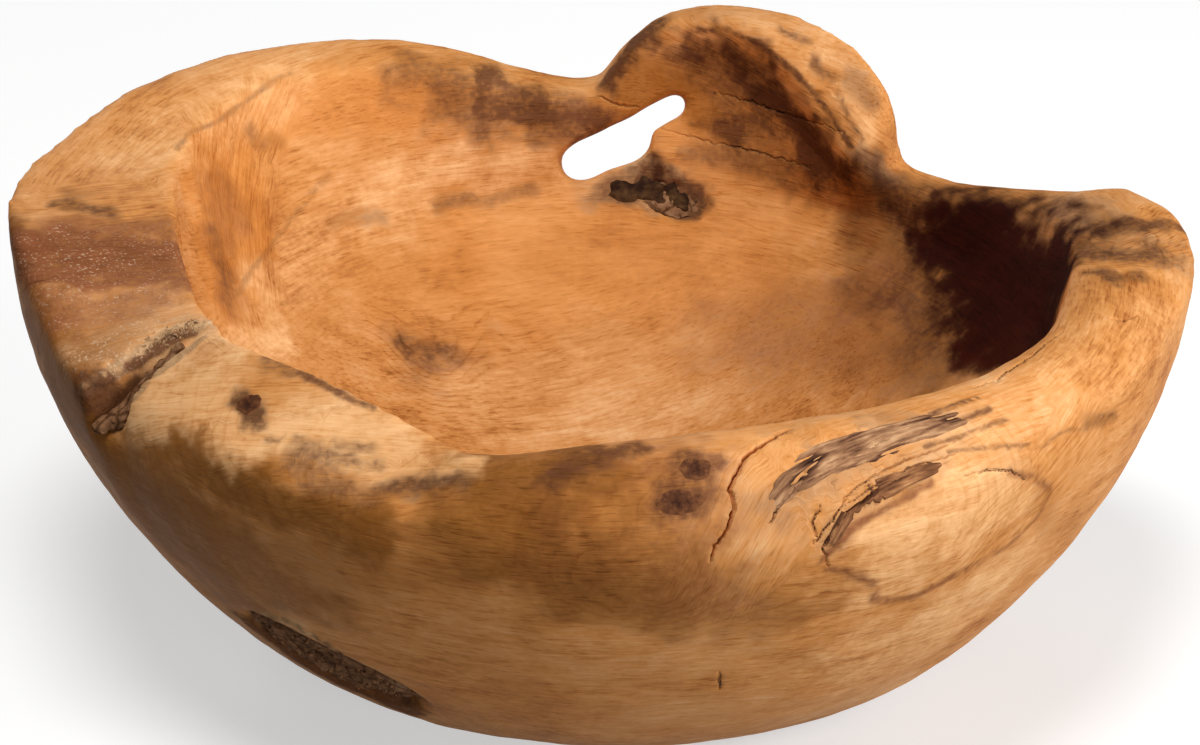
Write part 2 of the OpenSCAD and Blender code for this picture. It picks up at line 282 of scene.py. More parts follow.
# paint on the wood: photo pixels along each stroke, half width in mm, strength
paint = {
    "stainAndPaintedShade": [
        (((486, 92), (512, 100), (536, 110)), 9, 0.9),        # saddle
        (((418, 80), (440, 95), (480, 106)), 10, 0.6),
        (((540, 108), (575, 118), (604, 128)), 7, 0.75),
        (((62, 203), (85, 206), (112, 212)), 3.5, 0.75),      # slab
        (((66, 190), (90, 196)), 3, 0.4),
        (((242, 398), (250, 406), (258, 416)), 4.5, 0.95),    # facet
        (((268, 358), (296, 369), (335, 389), (372, 409)), 1.6, 0.8),
        (((272, 360), (290, 368)), 3, 0.7),
        (((270, 440), (320, 442), (375, 448)), 1.6, 0.6),
        (((298, 466), (330, 484), (375, 502)), 5, 0.55),
        (((300, 452), (340, 456), (380, 462)), 2.5, 0.6),
        (((385, 490), (420, 486), (452, 482)), 4, 0.7),
        (((430, 470), (434, 484), (440, 500)), 2.5, 0.5),
        (((548, 482), (572, 466), (596, 458)), 5, 0.65),      # front lip
        (((596, 458), (622, 450), (640, 446)), 3, 0.8),
        (((688, 466), (704, 470)), 5.5, 0.75),                # knots
        (((664, 504), (682, 501), (702, 494)), 5.5, 0.75),
        # on the ear's inner face: dark stain, and painted shade under its hood
        (((610, 78), (632, 45), (662, 26)), 5, 0.95),         # ear
        (((692, 44), (725, 48), (752, 68)), 6, 0.95),
        (((752, 72), (785, 108), (822, 155)), 8, 0.95),
        (((700, 70), (740, 85), (785, 118)), 8, 0.5),
        (((720, 118), (770, 128), (820, 145)), 8, 0.7),
        (((775, 110), (808, 150), (845, 172)), 9, 0.85),
        (((700, 30), (730, 31), (764, 48), (801, 79), (826, 109), (849, 146)), 1.2, 0.85),
        (((700, 150), (770, 165), (850, 185)), 6, 0.5),
        # painted shade that the right wall casts over the inner right, on darker wood
        (((890, 200), (945, 290), (975, 350)), 20, 0.45),     # inner right
        (((930, 220), (970, 300), (990, 355)), 13, 0.9),
        (((880, 190), (905, 205), (925, 240)), 8, 0.7),
        (((1090, 232), (1120, 226), (1165, 222)), 5, 0.8),    # lobe
        (((1100, 250), (1130, 258), (1150, 250)), 6, 0.75),
        (((1092, 272), (1115, 280), (1138, 276)), 4, 0.7),
        (((1050, 205), (1085, 212)), 5, 0.5),
        (((782, 30), (806, 44)), 2, 0.6),
        (((816, 62), (832, 78)), 2.2, 0.6),
        (((838, 92), (848, 120), (862, 138)), 1.0, 0.7),
        # dark stain and painted shade at the foot of the slot, under the ear
        (((640, 176), (668, 186), (694, 204)), 7, 0.95),      # foot of the slot
        (((604, 190), (625, 200)), 5, 0.7),
        (((440, 205), (490, 200), (536, 194)), 3, 0.5),       # beyond the crease
        (((330, 222), (383, 218)), 3, 0.4),
        # painted shade in the seam's cleft and under the slab's step
        (((80, 385), (105, 392), (136, 392)), 6, 1.0),        # seam
        (((100, 405), (122, 408)), 5, 0.8),
        (((190, 333), (168, 343), (146, 357), (120, 375)), 2, 0.95),
        (((176, 150), (186, 134), (220, 120), (268, 86), (291, 73)), 1.2, 0.45),  # inner left wall
        (((214, 235), (222, 262), (228, 296)), 4, 0.45),
        # painted shade along the crease where the wall meets the floor
        (((329, 172), (291, 218), (264, 253), (237, 298)), 1.2, 0.4),
        (((250, 130), (262, 145), (280, 140)), 3, 0.4),
        (((426, 354), (438, 360), (450, 357)), 7, 0.65),      # knot in the floor
        # painted shade in the pocket's hollow, on dark wood
        (((268, 625), (320, 648), (372, 684), (398, 702)), 9, 1.0),   # pocket
        (((1086, 420), (1113, 416)), 2.5, 0.6),
        (((900, 426), (940, 410), (978, 398)), 0.9, 0.9),     # fibres beyond the strips
        (((915, 438), (950, 426), (992, 410)), 0.9, 0.8),
        (((926, 448), (965, 436), (1004, 420)), 0.8, 0.7),
        (((950, 452), (1000, 446), (1030, 443)), 0.8, 0.6),
        (((1040, 446), (1064, 432), (1088, 426)), 0.8, 0.5),
    ],
    # dark wood and painted shade: the shadow the right wall casts over the inner right, and the shade under
    # the ear and at the foot of the slot
    "darkWoodAndPaintedShade": [
        (((950, 234), (1000, 252), (1046, 270)), 18, 1.05),
        (((960, 255), (995, 300), (1010, 338)), 18, 1.05),
        (((1052, 248), (1058, 285), (1040, 325)), 15, 1.05),
        (((915, 235), (945, 300), (965, 350)), 26, 0.5),
        (((900, 212), (925, 222), (960, 240)), 6, 0.7),
        (((654, 162), (656, 178), (662, 190)), 3, 0.8),
        (((715, 52), (748, 62), (778, 95)), 8, 0.5),
        (((785, 110), (818, 142), (848, 166)), 8, 0.5),
    ],
    # painted glints: where pale specks stand for the glitter of the sawn wood
    "sparkle": [
        (((40, 255), (100, 250), (165, 250)), 12, 0.8),
        (((55, 300), (110, 295), (180, 290)), 12, 0.6),
        (((75, 355), (120, 338), (190, 318)), 8, 0.9),
    ],
    "rust": [
        (((30, 250), (90, 246), (165, 248)), 13, 1.0),
        (((42, 278), (100, 274), (172, 276)), 10, 0.9),
        (((60, 224), (120, 226), (160, 226)), 6, 0.7),
        (((55, 312), (100, 306), (160, 302)), 9, 0.6),
        (((215, 190), (220, 240), (228, 295)), 9, 0.5),
        (((400, 345), (440, 340), (480, 355), (440, 378), (400, 370)), 7, 0.35),
        (((660, 450), (700, 485), (690, 520)), 14, 0.5),
        (((560, 545), (640, 560), (720, 590)), 14, 0.4),
        (((560, 118), (590, 122)), 8, 0.5),
        (((760, 520), (800, 530)), 6, 0.3),
        (((828, 568), (872, 583), (873, 600), (889, 603), (913, 597), (933, 586), (963, 571)),    # burl
         1.5, 0.75),
        (((963, 571), (1007, 548), (1036, 518), (1051, 492), (1036, 477), (1010, 471)), 1.4, 0.6),
        (((823, 559), (851, 527), (883, 512), (913, 492), (933, 483)), 1.4, 0.8),
        (((690, 14), (760, 12), (820, 30)), 5, 0.3),
        (((424, 344), (452, 346), (472, 358), (452, 372), (424, 370), (408, 358), (420, 346)), 1.4, 0.6),
        (((760, 340), (820, 330), (880, 340)), 22, 0.5),
        (((850, 290), (880, 300)), 16, 0.6),
    ],
    "weather": [
        (((772, 500), (830, 462), (890, 440), (955, 420)), 8, 0.75),
        (((830, 540), (850, 510), (890, 480), (945, 462)), 5, 0.6),
        (((862, 150), (885, 172)), 5, 0.85),
        (((1085, 215), (1130, 240), (1165, 252)), 11, 0.6),
        (((1060, 200), (1100, 205)), 6, 0.6),
        (((70, 350), (110, 340), (180, 315)), 9, 0.55),
        (((70, 365), (100, 360), (130, 345)), 7, 0.4),
        (((602, 190), (630, 197), (645, 208)), 7, 0.9),
        (((765, 434), (800, 424), (860, 412)), 3, 0.4),
        (((850, 82), (868, 100)), 4, 0.7),
    ],
    # paler wood and painted light: the up-facing facet, the lower right front wall, the right wall and the
    # ear's rim are lightened as if lit; the rest, such as the burl, is paler wood
    "paleToneAndPaintedLight": [
        (((150, 362), (200, 345), (280, 345)), 7, 0.75),
        (((150, 388), (200, 400), (260, 430), (330, 430), (420, 460)), 10, 1.0),
        (((860, 660), (920, 640), (980, 590)), 16, 0.6),
        (((880, 560), (930, 530), (1000, 495)), 15, 0.7),
        (((860, 590), (900, 585)), 10, 0.6),
        (((1060, 380), (1120, 340), (1160, 320)), 12, 0.4),
        (((846, 98), (858, 118), (872, 134)), 5, 0.8),
        (((720, 14), (780, 20), (826, 46)), 5, 0.4),
        (((420, 185), (350, 215), (290, 260), (270, 310)), 10, 0.45),
        (((540, 160), (470, 165), (400, 180)), 9, 0.4),
        (((520, 430), (600, 425), (680, 415)), 10, 0.4),
        (((480, 400), (560, 390)), 16, 0.3),
        (((280, 80), (200, 110), (130, 160)), 14, 0.45),
    ],
    "amber": [
        (((215, 130), (215, 190), (222, 270)), 14, 1.1),
        (((245, 140), (240, 175), (240, 230)), 9, 0.9),
        (((270, 110), (340, 95), (400, 100)), 14, 0.8),
        (((620, 120), (660, 90), (700, 110)), 12, 0.8),
        (((640, 150), (720, 170), (800, 200)), 12, 0.6),
        (((500, 280), (600, 260), (720, 270)), 30, 0.7),
        (((400, 300), (480, 320)), 18, 0.5),
        (((560, 350), (650, 340)), 25, 0.4),
        (((150, 408), (200, 432), (260, 465), (320, 500)), 3, 0.5),
        (((400, 540), (520, 520), (640, 500)), 18, 0.4),
    ],
    "figure": [
        (((850, 570), (920, 540), (1000, 500)), 22, 0.6),
        (((640, 570), (720, 590), (810, 600)), 26, 0.5),
        (((225, 130), (260, 140), (300, 150)), 18, 0.1),
        (((420, 358), (460, 356)), 18, 0.9),
        (((180, 420), (260, 460), (340, 500)), 14, 0.5),
        (((1060, 420), (1110, 380), (1160, 320)), 18, 0.15),
        (((640, 110), (700, 80), (760, 90)), 14, 0.4),
        (((1080, 230), (1130, 250), (1160, 250)), 12, 0.8),
    ],
    # darker wood and painted shade on the sides that face away from the lamps: the left and lower walls,
    # under the facet's edge, the front lip and the ear's hood
    "deepToneAndPaintedShade": [
        (((60, 360), (90, 430), (140, 500), (210, 570)), 20, 1.0),
        (((20, 240), (34, 310), (52, 380)), 12, 1.0),
        (((118, 425), (170, 456), (225, 484), (270, 503), (320, 522), (380, 545)), 8, 0.85),
        (((150, 490), (220, 545), (300, 590)), 16, 0.8),
        (((300, 540), (400, 565), (500, 570)), 12, 0.4),
        (((640, 80), (690, 70), (750, 100), (800, 140)), 16, 0.6),
        (((470, 500), (540, 500), (600, 520)), 14, 0.7),
        (((520, 560), (590, 575), (680, 590)), 16, 0.75),
        (((450, 470), (520, 470), (600, 480)), 10, 0.85),
        (((570, 490), (610, 486), (650, 492)), 10, 0.7),
        (((690, 600), (740, 620), (790, 610)), 12, 0.5),
        (((1020, 470), (1050, 520), (1080, 540)), 8, 0.35),
    ],
}

# marks on the sides that the photograph doesn't show: angle and height in mm, half width in mm, strength
unseen = {
    "stainAndPaintedShade": [
        (((58, 96), (64, 88), (70, 84)), 5, 0.8),
        (((100, 92), (112, 98), (126, 104)), 4, 0.6),
        (((28, 62), (34, 58), (40, 60)), 4, 0.7),
        (((148, 58), (156, 52)), 5, 0.7),
        (((120, 24), (132, 20)), 4, 0.5),
    ],
    "weather": [(((20, 84), (40, 80), (56, 86)), 8, 0.5)],
    "paleToneAndPaintedLight": [(((75, 50), (90, 46), (105, 52)), 20, 0.6), (((10, 40), (25, 44)), 16, 0.5)],
    "amber": [(((130, 70), (150, 76), (170, 70)), 20, 0.6)],
    # darker low on the back wall
    "deepToneAndPaintedShade": [(((60, 20), (90, 16), (130, 18), (170, 22)), 14, 0.5)],
    "rust": [(((140, 60), (165, 54)), 12, 0.5)],
    "figure": [(((70, 48), (110, 50)), 22, 0.8), (((145, 55), (160, 52)), 16, 0.9)],
}


# how far each place on a crisp edge moves, so that the short CAD segments make one smooth line
def edgeShifts(crisp, heads, tree):
    reach = bowl["edgeReach"]
    atOnce, overLength = bowl["edgeSlack"]
    spots, around = np.array(crisp), []
    shifts = np.zeros((len(spots), 3))
    for index, (spot, head) in enumerate(zip(spots, heads)):
        found = [other for _, other, _ in tree.find_range(spot, reach)]
        gaps = spots[found] - spot
        run = gaps @ head
        off = gaps - run[:, None] * head
        same = np.linalg.norm(off, axis=1) < atOnce + overLength * np.abs(run)  # not on an edge beside it
        share = np.maximum(1 - np.abs(run) / reach, 0) * same
        around.append((found, share / share.sum()))
        shifts[index] = around[-1][1] @ off
    shifts -= np.array([share @ shifts[found] for found, share in around])  # the edge as a whole stays
    size = np.linalg.norm(shifts, axis=1)
    return shifts * np.minimum(1, bowl["edgeShift"] / np.maximum(size, 1e-9))[:, None]


# the CAD bowl with its facets taken off, and a tree of its crisp edges
def makeBowlMesh():
    shell = joinedCopy("bowl_body")
    crisp, heads = [], []
    for edge in shell.edges:
        if edge.is_manifold and edge.calc_face_angle(0) > math.radians(bowl["sharpAngle"]):
            a, b = (v.co for v in edge.verts)
            steps = max(1, int((b - a).length / bowl["edgeStep"]))
            crisp += [a.lerp(b, k / steps) for k in range(steps + 1)]
            heads += [np.array((b - a).normalized())] * (steps + 1)
    shell.free()
    shell = joinedCopy("bowl_body", "rim_bark", "dead_knots")  # the flush inclusions lie under the skin
    faces = BVHTree.FromBMesh(shell)
    mesh = meshOf(shell, "bowlBody")
    mesh = applied(mesh, "REMESH", {"mode": "VOXEL", "voxel_size": bowl["voxel"], "adaptivity": 0})
    points, _ = readPoints(mesh)
    points = np.array([faces.find_nearest(p)[0] for p in points])  # takes the remesh steps off the edges
    tree = pointTree(crisp)
    found = [tree.find(p)[1:] for p in points]
    weight = softStep(np.array([gap for _, gap in found]), bowl["keepNear"], bowl["evenFrom"])
    flat = softStep(points[:, 2], *bowl["flatFade"])
    shifts = edgeShifts(crisp, heads, tree)[[index for index, _ in found]]
    points = points + shifts * ((1 - weight) * flat)[:, None]
    points = evenOut(mesh, points, flat, bowl["roundRounds"])
    weight = bowl["edgeEven"] + (1 - bowl["edgeEven"]) * weight
    points = evenOut(mesh, points, weight * flat, bowl["evenRounds"])
    writePoints(mesh, points)
    return mesh, tree


bowlMesh, crispTree = makeBowlMesh()
print("bowl remeshed:", len(bowlMesh.polygons), "faces")


def skinOf(mesh):
    mesh.calc_loop_triangles()
    corners = np.empty(len(mesh.loop_triangles) * 3, np.int32)
    mesh.loop_triangles.foreach_get("vertices", corners)
    return BVHTree.FromPolygons(readPoints(mesh)[0].tolist(), corners.reshape(-1, 3).tolist())


bowlSkin = skinOf(bowlMesh)


# where a pixel of the photograph lies on the wood
def photoSpot(pixel):
    spot, facing, _, _ = bowlSkin.ray_cast(*sightLine(pixel))
    return (spot, facing) if spot else None


# where a level line towards the upright axis meets the outer wall: angle in degrees, height in mm
def wallSpot(place):
    turn = math.radians(place[0])
    out = Vector((math.cos(turn), math.sin(turn), 0))
    spot, facing, _, _ = bowlSkin.ray_cast(out * 0.4 + Vector((0, 0, place[1] / 1000)), -out)
    return (spot, facing) if spot else None


# spots on the wood along a line of places
def layOut(line, step, spotOf, wander=0, draw=None):
    places = []
    for (x0, y0), (x1, y1) in zip(line, line[1:]):
        count = max(1, round(math.hypot(x1 - x0, y1 - y0) / step))
        for k in range(count):
            shift = draw.normal(0, wander, 2) if wander else (0, 0)
            places.append((x0 + (x1 - x0) * k / count + shift[0], y0 + (y1 - y0) * k / count + shift[1]))
    found = [spotOf(place) for place in places + [line[-1]]]
    spots, facings = zip(*(spot for spot in found if spot))
    return np.array(spots), np.array(facings)


# how near each point is to a laid out line, from 1 on it to 0 at its half width
def closeness(points, normals, spots, facings, halfWidth, sameSide=True):
    share = np.zeros(len(points))
    halfWidth = np.broadcast_to(halfWidth, len(spots))
    most = halfWidth.max()
    near = np.all((points > spots.min(0) - most) & (points < spots.max(0) + most), 1)
    index = np.flatnonzero(near)
    batch = 8000  # keeps the memory low
    for start in range(0, len(index), batch):
        some = index[start:start + batch]
        gap = np.linalg.norm(points[some, None] - spots[None], axis=2) / halfWidth
        share[some] = np.clip(1 - gap.min(1), 0, 1)
        if sameSide:  # not through to the other side of a wall
            same = np.einsum("ij,ij->i", normals[some], facings[gap.argmin(1)])
            share[some] *= softStep(same, -0.1, 0.5)
    return share


# how splits and broken fibre are drawn
splitting = {
    "photo": (4, 0.8),         # step and wander in photo pixels
    "wall": (0.7, 0.12),       # step and wander on the unseen side, in degrees and mm
    "seed": 11,
    "fineStep": 0.12,
    "ends": (0.25, 0.15),      # how near to nothing a split starts and ends
    "raggedStep": 6,
}


# a split: close spots on a wandering line that narrows towards its ends
def splitLines():
    draw = np.random.default_rng(splitting["seed"])
    first, last = splitting["ends"]
    found = []
    for group, spotOf, side in ((splits, photoSpot, "photo"), (backSplits, wallSpot, "wall")):
        step, wander = splitting[side]
        for line, half, depth in group:
            spots, facings = layOut(line, step, spotOf, wander, draw)
            at = np.arange(0, len(spots) - 1, splitting["fineStep"])
            spots, facings = (
                np.stack([np.interp(at, np.arange(len(rows)), rows[:, k]) for k in range(3)], 1)
                for rows in (spots, facings))
            taper = np.sin(np.linspace(first, math.pi - last, len(at))) ** 0.5
            found.append((spots, facings, half / 1000 * taper, depth / 1000))
    return found


def raggedLines():
    step = splitting["raggedStep"]
    return [(*layOut(line, step, photoSpot), half / 1000, depth / 1000) for line, half, depth in ragged]


# finer faces where the wood is split or broken
def refined(mesh, spots):
    tree = pointTree(spots)
    shell = bmesh.new()
    shell.from_mesh(mesh)
    for reach in bowl["crackReach"]:
        close = {v for v in shell.verts if tree.find(v.co)[2] < reach}
        edges = [e for e in shell.edges if e.verts[0] in close and e.verts[1] in close]
        bmesh.ops.subdivide_edges(shell, edges=edges, cuts=1, use_grid_fill=True)
    shell.to_mesh(mesh)
    shell.free()
    mesh.update()


def carveBowl(mesh, splitSet, raggedSet):
    refined(mesh, np.concatenate([spots for spots, _, _, _ in splitSet]))
    points, normals = readPoints(mesh)
    lift = bowl["waveDepth"] * roughness(points, bowl["waveSize"], 1)
    lift += bowl["rippleDepth"] * roughness(points, bowl["rippleSize"], 2)
    for spots, facings, half, depth in raggedSet:
        share = closeness(points, normals, spots, facings, half)
        some = np.flatnonzero(share)
        splinters = roughness(points[some], bowl["splinterSize"], 3, 3)
        lift[some] += depth * softStep(share[some], 0, bowl["splinterFade"]) * splinters
    for spots, facings, half, depth in splitSet:
        lift -= depth * closeness(points, normals, spots, facings, half) ** bowl["splitShape"]
    lift *= softStep(points[:, 2], *bowl["carveFade"])
    writePoints(mesh, points + normals * lift[:, None])
    mesh.calc_loop_triangles()
    ratio = bowl["trianglesAtMost"] / len(mesh.loop_triangles)
    kept = np.flatnonzero([crispTree.find(p)[2] < bowl["edgeBand"] for p in points])
    thinned = {"ratio": min(1, ratio), "vertex_group": "kept", "invert_vertex_group": True}
    return applied(mesh, "DECIMATE", thinned, kept)


splitSet = splitLines()
raggedSet = raggedLines()
bowlMesh = carveBowl(bowlMesh, splitSet, raggedSet)
bowlMesh.name = "bowlBody"
bowlMesh.shade_smooth()
bowlSkin = skinOf(bowlMesh)
print("bowl carved:", len(bowlMesh.polygons), "triangles")

# growth rings: the axis they grew round, and the burls and knots that bend them
rings = {
    "centre": (0.0, -0.01, 0.03),
    "wander": ((0.075, 14), (0.028, 5)),   # size in m, shift in mm
    "burls": [                              # photo pixel, radius in mm, shift in mm
        ((935, 535), 24, 26),
        ((434, 358), 14, 14),
        ((265, 138), 14, 10),
        ((640, 600), 26, 14),
        ((694, 469), 7, 7),
        ((682, 501), 8, 8),
        ((250, 408), 7, 6),
        ((1130, 245), 18, 12),
    ],
}

# where the fibres leave their way round the bowl: photo pixels along each, half width in mm
flows = [
    (((730, 580), (775, 500), (830, 462), (900, 436), (1000, 400)), 18),
    (((800, 600), (880, 590), (960, 560), (1040, 490), (1080, 440)), 14),
    (((150, 400), (230, 393), (310, 388)), 16),
    (((230, 440), (330, 442), (430, 444)), 14),
    (((300, 482), (380, 480), (455, 472)), 12),
    (((10, 215), (100, 205), (190, 195)), 16),
    (((20, 270), (110, 262), (200, 258)), 18),
    (((60, 340), (120, 325), (200, 310)), 14),
    (((640, 30), (720, 60), (800, 110), (850, 150)), 14),
    (((1060, 240), (1120, 250), (1180, 225)), 16),
    (((214, 125), (210, 180), (220, 250), (234, 305)), 12),
    (((270, 100), (252, 150), (246, 210), (250, 280)), 12),
]


def writeField(mesh, name, values):
    mesh.attributes.new(name, "FLOAT", "POINT").data.foreach_set("value", values.astype(np.float32))


# how the paint is laid on
brush = {
    "drift": ((0.016, 20, 1.0), (0.004, 23, 0.5)),  # size in m, seed and weight of what ruffles a stroke
    "driftShare": 0.8,     # of its half width
    "driftMost": 9,        # mm
    "spread": 1.5,         # where it has faded out, over its half width
    "fade": 0.8,
    "flowStep": 8,
    "flowFade": 0.4,
    # painted shade inside the splits
    "splitShade": (1.15, False, 0.3),  # width over that of the split, on the same side only, fade
    "broken": (1, True, 0.5),
}


def paintField(points, normals, drift, name):
    field = np.zeros(len(points))
    for spotOf, strokes in ((photoSpot, paint[name]), (wallSpot, unseen.get(name, []))):
        for line, half, strength in strokes:
            wide = half * brush["spread"]
            spots, facings = layOut(line, max(2, wide) if spotOf is photoSpot else 1, spotOf)
            moved = points + drift * min(half * brush["driftShare"], brush["driftMost"]) / 1000
            share = closeness(moved, normals, spots, facings, wide / 1000)
            field = np.maximum(field, strength * softStep(share, 0, brush["fade"]))
    return field


# how much the fibres follow one of the flows, and the place along and across it
def flowFields(points, normals):
    flow, along, across = np.zeros((3, len(points)))
    for line, half in flows:
        spots, facings = layOut(line, brush["flowStep"], photoSpot)
        ahead = np.gradient(spots, axis=0)
        step = np.linalg.norm(ahead, axis=1)
        ahead /= step[:, None]
        side = np.cross(facings, ahead)
        share = closeness(points, normals, spots, facings, half / 1000)
        some = np.flatnonzero(share > flow)
        best = np.array([np.linalg.norm(spots - p, axis=1).argmin() for p in points[some]])
        offset = points[some] - spots[best]
        flow[some] = share[some]
        along[some] = np.cumsum(step)[best] + np.einsum("ij,ij->i", offset, ahead[best])
        across[some] = np.einsum("ij,ij->i", offset, side[best])
    return {"flow": softStep(flow, 0, brush["flowFade"]), "along": along, "across": across}


# growth ring at each point, in mm from the axis
def ringAges(points):
    age = np.linalg.norm((points - np.array(rings["centre"]))[:, 1:], axis=1) * 1000
    for seed, (size, shift) in enumerate(rings["wander"]):
        age += shift * roughness(points, size, 5 + seed)
    for pixel, radius, shift in rings["burls"]:
        spot = np.array(photoSpot(pixel)[0])
        gap = np.linalg.norm((points - spot) * 1000 / radius, axis=1)
        age += shift * np.exp(-gap * gap)
    return age


def paintBowl(mesh):
    points, normals = readPoints(mesh)
    drift = np.stack([
        sum(weight * roughness(points, size, seed + k) for size, seed, weight in brush["drift"])
        for k in range(3)], 1)
    for name in paint:
        writeField(mesh, name, paintField(points, normals, drift, name))
    for name, lines in (("splitShade", splitSet), ("broken", raggedSet)):
        widen, sameSide, fade = brush[name]
        field = np.zeros(len(points))
        for spots, facings, half, _ in lines:
            share = closeness(points, normals, spots, facings, half * widen, sameSide)
            field = np.maximum(field, softStep(share, 0, fade))
        writeField(mesh, name, field)
    for name, values in flowFields(points, normals).items():
        writeField(mesh, name, values)
    writeField(mesh, "age", ringAges(points))


paintBowl(bowlMesh)
print("bowl painted")

# teak root, sanded and oiled: orange-brown clouds with darker growth lines, fine fibre streaks that
# run round the bowl, purple-black stains by the bark, and a soft sheen
teak = {
    "cloudMm": 48,
    "mottleMm": 13,
    "streakMm": 5,
    "fibreMm": 0.9,         # real fibre is finer, this is as coarse as it needs to show
    "poreMm": 0.55,         # so are the pores
    "gritMm": 1.6,
    "ringMm": 3.4,
    "ringBend": 3.0,        # mm, how far the mottling bends the rings
    "ringTones": [
        (0.0, "#000000"), (0.55, "#303030"), (0.85, "#C0C0C0"), (0.93, "#707070"), (1.0, "#000000")],
    "figure": (-0.6, -0.1), # how much painted figure darkens the rings, and what all of them have
    "stretch": 9,           # length of a streak over its width
    "wallReach": 0.12,      # m, mean distance of the wall from the upright axis
    "floorReach": (0.105, 0.075),   # m, where the grain of the wall gives way to that of the floor
    "floorTurn": 20,        # degrees, how the fibres cross the floor
    "weights": {"cloud": 0.36, "mottle": 0.2, "streak": 0.27, "fibre": 0.24, "grit": 0.08, "pore": -0.12},
    "contrast": {           # range of each noise that is spread from 0 to 1
        "cloud": (0.28, 0.72), "mottle": (0.28, 0.72), "streak": (0.28, 0.72), "fibre": (0.28, 0.72),
        "pore": (0.6, 0.72), "grit": (0.3, 0.7)},
    "tearBase": 0.1,        # what tears the edges of the paint
    "tears": {"streak": 0.6, "mottle": 0.5, "fibre": 0.35, "grit": 0.4},
    "tones": [(0.0, "#5F3418"), (0.25, "#A2602B"), (0.5, "#CB8849"), (0.75, "#DC9F66"), (1.0, "#EBC391")],
    "masks": {              # how much each covers, how torn it is, its dark and its light tone
        "amber": (0.6, 0.8, "#A2561A", "#D88838"),
        # darker wood with painted shade
        "deepToneAndPaintedShade": (0.85, 0.8, "#4E2B06", "#8D5213"),
        # paler wood with painted light
        "paleToneAndPaintedLight": (0.8, 0.8, "#DE9A5A", "#F8C48C"),
        "weather": (0.8, 1.0, "#5A3C28", "#B98A60"),
        "broken": (0.75, 1.0, "#6A4C32", "#C8A278"),
        "rust": (0.9, 0.8, "#4A2012", "#8E5232"),
        # stains, and painted shade in hollows, creases and under overhangs
        "stainAndPaintedShade": (0.92, 1.0, "#28130A", "#6C4129"),
        # near-black red-brown: dark wood with painted shade
        "darkWoodAndPaintedShade": (1.0, 0.25, "#190402", "#3A1106"),
    },
    "speckMm": 0.8,
    "speck": "#DDBD9C",     # pale specks that stand for the glitter of the sawn wood: painted glints
    # painted shade inside the splits
    "splitShade": "#1C0F08",
    "dry": ("weather", "broken", "rust", "stainAndPaintedShade", "darkWoodAndPaintedShade"),
    "roughness": (0.25, 0.6),   # what dry wood adds, and sanded wood
    "gloss": 0.08,
    "relief": {"fibre": 0.5, "pore": -0.3},   # beside the streaks
    "bump": {"Strength": 0.4, "Distance": 0.0004},
}


# noises of the wood, each from 0 to 1
def grainParts(node, place):
    level = node("VectorMath", {0: place, 1: (1, 1, 0)}, operation="MULTIPLY")
    reach = node("VectorMath", {0: level}, "Value", operation="LENGTH")
    outward = node("VectorMath", {0: level}, operation="NORMALIZE")
    circle = node("VectorMath", {0: outward, "Scale": teak["wallReach"] / teak["stretch"]}, operation="SCALE")
    around = node("VectorMath", {0: place, 1: (0, 0, 1), 2: circle}, operation="MULTIPLY_ADD")
    turn = math.radians(-teak["floorTurn"])
    askew = node("VectorRotate", {"Vector": place, "Angle": turn}, rotation_type="Z_AXIS")
    along = node("VectorMath", {0: askew, 1: (1 / teak["stretch"], 1, 1)}, operation="MULTIPLY")
    outer, inner = teak["floorReach"]
    middle = node("MapRange", {0: reach, 1: outer, 2: inner}, interpolation_type="SMOOTHSTEP")
    flow, run, across = (
        node("Attribute", output="Fac", attribute_name=name) for name in ("flow", "along", "across"))
    run = node("Math", {0: run, 1: teak["stretch"]}, operation="DIVIDE")
    stream = node("CombineXYZ", {0: run, 1: across})
    parts = {}
    for name, detail, distortion in (("cloud", 3, 0.8), ("mottle", 4, 1.2), ("grit", 2, 0)):
        parts[name] = node("TexNoise", {
            "Vector": place, "Scale": 1000 / teak[name + "Mm"], "Detail": detail, "Distortion": distortion})
    for name, detail in (("streak", 4), ("fibre", 2), ("pore", 0)):
        values = {"Scale": 1000 / teak[name + "Mm"], "Detail": detail, "Roughness": 0.6, "Distortion": 0.3}
        side = node("TexNoise", {"Vector": around, "W": reach, **values}, noise_dimensions="4D")
        flat = node("TexNoise", {"Vector": along, **values})
        turned = node("TexNoise", {"Vector": stream, **values})
        both = node("Mix", {0: middle, 2: side, 3: flat})
        parts[name] = node("Mix", {0: flow, 2: both, 3: turned})
    for name, (low, high) in teak["contrast"].items():
        parts[name] = node("MapRange", {0: parts[name], 1: low, 2: high})
    return parts


